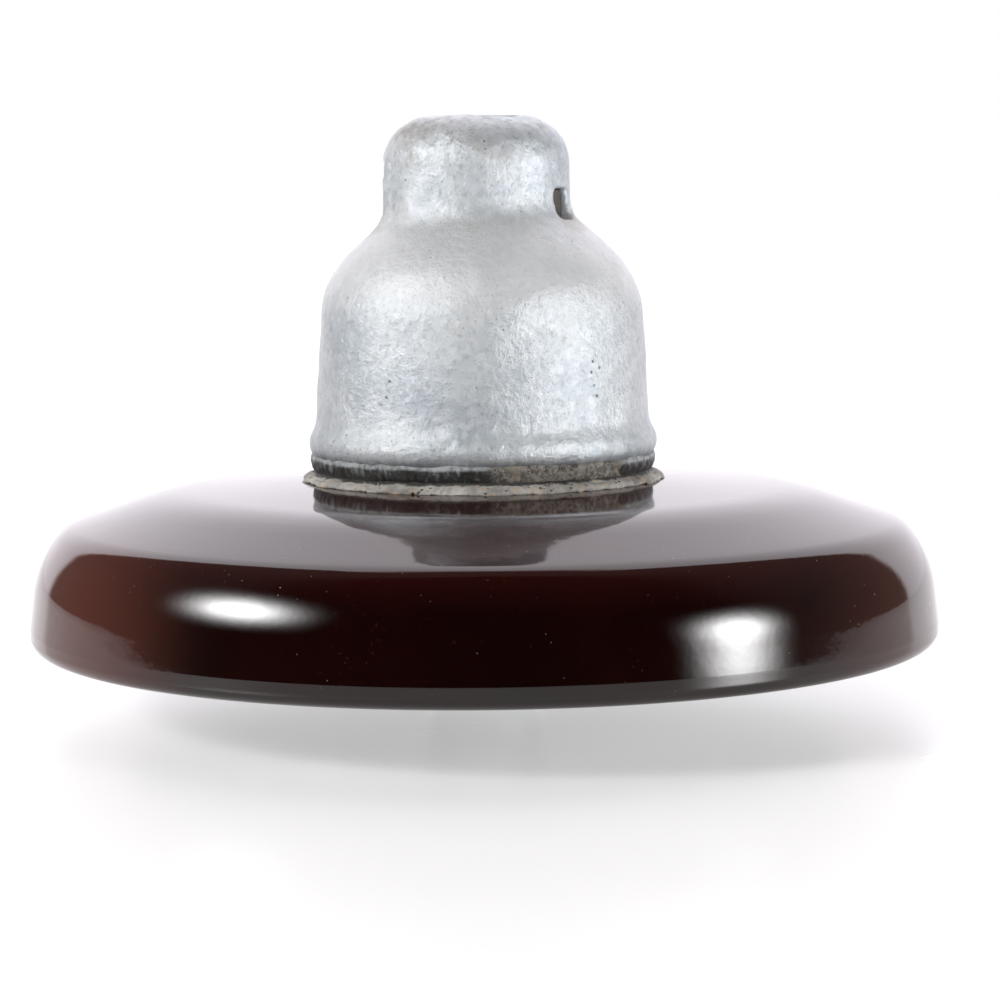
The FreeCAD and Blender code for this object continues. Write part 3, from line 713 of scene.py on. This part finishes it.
PORCELAIN = [
    (0, 101), (34.8, 101, 13.5), (34.8, 48.2, 8), (90.2, 44.7, 60), (117.8, 35.3, 11),
    (125.4, 25.6, 30), (127.5, 7.8, 12), (127.5, 2.7, 4.0), (106, 0, 16), (101.6, 0, 2.8),
    (99.3, 27.5, 4.5),
]
for rib, tip, root in ((85.5, 9.0, 29.5), (67.0, 7.0, 31.5), (49.0, 9.0, 33.0)):
    PORCELAIN += [(rib + 4.6, root, 4.5), (rib + 3.1, tip, 2.6)]
    PORCELAIN += [(rib - 3.1, tip, 2.6), (rib - 4.6, root, 4.5)]
PORCELAIN += [(34, 33, 4.5), (32, 20, 3.5), (22, 20, 2.5), (22, 86, 10), (0, 86)]
outline = rounded(PORCELAIN, arc_step=5, run_step=2.6)
outline[:, 1] += RIM
outline[:, 0] = np.minimum(outline[:, 0], REACH - 0.01)
shell = turned("porcelain_disc", outline, 256, uneven=0.10, seed=5)
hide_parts("porcelain_shell")
dress(shell, glaze())

casting = cast_piece("cast_cap", "cap", 0.85, 7, 0.30, 11, "insulator")
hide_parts("cap")
dress(casting, galvanised("zinc_casting", 1.0, 1.0, 1.0))

PIN = [
    (0, 0), (16.65, 0, 6.0), (16.65, 8.2, 3.0), (8.5, 13.4, 4.0), (8.5, 44.0, 6.0),
    (12.6, 60.0, 0.8), (10.2, 63.0, 1.2), (14.2, 76.0, 0.8), (10.2, 79.0, 1.2), (16.2, 92.0, 2.0),
    (16.2, 96.0, 0.8), (0, 96.0),
]
forged = turned("forged_pin", rounded(PIN, arc_step=6, run_step=1.2), 128, uneven=0.05, seed=8)
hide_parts("pin")
dress(forged, galvanised("zinc_forging", 0.55, 0.35, 1.05))

bead = collar("cement_bead", (48.9, RIM + 48.15), 1.9, 0.70, math.radians(-24), 1000, 0.24, 21)
dress(bead, cement("crust_grey"))
seal = collar("bitumen_ring", (46.9, RIM + 51.6), 3.0, 1.25, math.radians(68), 800, 0.10, 31, 0.3)
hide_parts("skirt_seal")
dress(seal, bitumen("bitumen_weathered", 1.0))

CLIP_LOW, CLIP_HIGH = (corner.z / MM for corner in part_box("locking_clip"))
CLIP = [
    (-13.05, 5.55), (-13.05, 2.55, 1.5), (18.9, 2.55, 2.5), (21.3, 3.03, 2.5), (22.45, 3.03, 0.55),
    (22.45, -3.03, 0.55), (21.3, -3.03, 2.5), (18.9, -2.55, 2.5), (-13.05, -2.55, 1.5),
    (-13.05, -5.55),
]
clip = bent_strip("hairpin_clip", CLIP, 1.06, CLIP_LOW + 0.02, CLIP_HIGH - 0.02, "clip")
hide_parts("locking_clip")
dress(clip, spring_strip())

nodes = frame["nodes"]
grit = fired_sand()
dress(nodes["head_sand_band"], grit)
dress(nodes["hole_sand_band"], grit)
corked = cork()
dress(nodes["crown_cushion"], corked)
dress(nodes["pin_cushion"], corked)
mortar = cement("cement_blackened", 1.0)
dress(nodes["cap_cement"], mortar)
dress(nodes["pin_cement"], mortar)
blackened = bitumen()
dress(nodes["cap_lining"], blackened)
dress(nodes["pin_coat"], blackened)

# ---------------------------------------------------------------- studio

LAMP_DISTANCE = 1.9
DISC_SIDE = (0.125, 0.04)  # radius and height of the disc's side


def lamp(name, turn, rise, width, height, level, sharp, aim_turn):
    """A soft lamp whose light is exp(-(u^2 + v^2) / sharp^2) (1 - u^2) (1 - v^2) over its face,

    u and v going from -1 to 1 across it. It stands LAMP_DISTANCE from the point of the disc's side
    that it aims at, which is turned aim_turn from the camera's side.
    """
    light = bpy.data.lights.new(name, "AREA")
    light.shape = "RECTANGLE"
    light.size = width
    light.size_y = height
    light.energy = level * math.pi * width * height
    light.use_nodes = True
    f = Finish(light.node_tree)
    u, v, _ = f.along(f.add("ShaderNodeNewGeometry", output="Parametric"))
    across = (u - 0.5) * 2
    up = (v - 0.5) * 2
    fade = f.math("EXPONENT", (across * across + up * up) * (-1 / sharp ** 2))
    fade = fade * (1 - across * across) * (1 - up * up)
    glow = f.add("ShaderNodeEmission", None, {"Color": (1, 1, 1), "Strength": fade})
    f.add("ShaderNodeOutputLight", None, {"Surface": glow})
    item = bpy.data.objects.new(name, light)
    bpy.context.scene.collection.objects.link(item)
    towards = direction(turn, rise)
    aim = DISC_SIDE[0] * direction(aim_turn, 0) + Vector((0, 0, DISC_SIDE[1]))
    item.location = aim + LAMP_DISTANCE * towards
    item.rotation_mode = "QUATERNION"
    item.rotation_quaternion = towards.to_track_quat("Z", "Y")


def studio_air():
    """White sweep behind the object, dark room elsewhere, plain white for what the camera sees."""
    world = bpy.data.worlds.new("studio")
    bpy.context.scene.world = world
    world.use_nodes = True
    f = Finish(world.node_tree)
    x, y, z = f.along(f.add("ShaderNodeTexCoord", output="Generated"))
    back = x * -TOWARDS.x + y * -TOWARDS.y
    side = x * SIDE.x + y * SIDE.y
    turn = side.math("ARCTAN2", back)
    rise = z.math("ARCSINE")
    left = turn.rise(math.radians(-40), math.radians(-36))
    right = turn.rise(math.radians(50), math.radians(46))
    top = rise.rise(math.radians(74), math.radians(66))
    sweep = left * right * top
    wing = turn.math("ABSOLUTE").rise(math.radians(125), math.radians(80)) * (1 - sweep)
    level = sweep * (1.45 + rise.held() * 0.75) + 0.03 + wing * 0.16
    shade = f.blend(sweep, (1.0, 0.80, 0.74), (0.975, 0.945, 1.0))
    seen = f.add("ShaderNodeLightPath", output="Is Camera Ray")
    shade = f.blend(seen, shade, (1, 1, 1))
    strength = seen + (1 - seen) * level
    glow = f.add("ShaderNodeBackground", None, {"Color": shade, "Strength": strength})
    f.add("ShaderNodeOutputWorld", None, {"Surface": glow})


def table():
    """A large round table top under the object, as a fan of rings on the ground."""
    radius = np.r_[0.02, np.geomspace(0.2, 30, 24)]
    angle = np.linspace(0, 2 * math.pi, 96, endpoint=False)
    grid = np.stack([
        radius[:, None] * np.cos(angle), radius[:, None] * np.sin(angle),
        np.full((len(radius), len(angle)), -0.0002),
    ], -1)
    item = skin("table", np.concatenate([grid, grid[::-1] - [0, 0, 0.01]]) / MM)
    item.parent = None
    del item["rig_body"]
    dress(item, table_top())


table()
studio_air()
lamp("left_lamp", -68, 29, 1.9, 1.25, 38, 0.44, -32)
lamp("right_lamp", 64, 9, 1.35, 1.45, 39, 0.48, 32)

bpy.context.scene.view_settings.view_transform = "Standard"
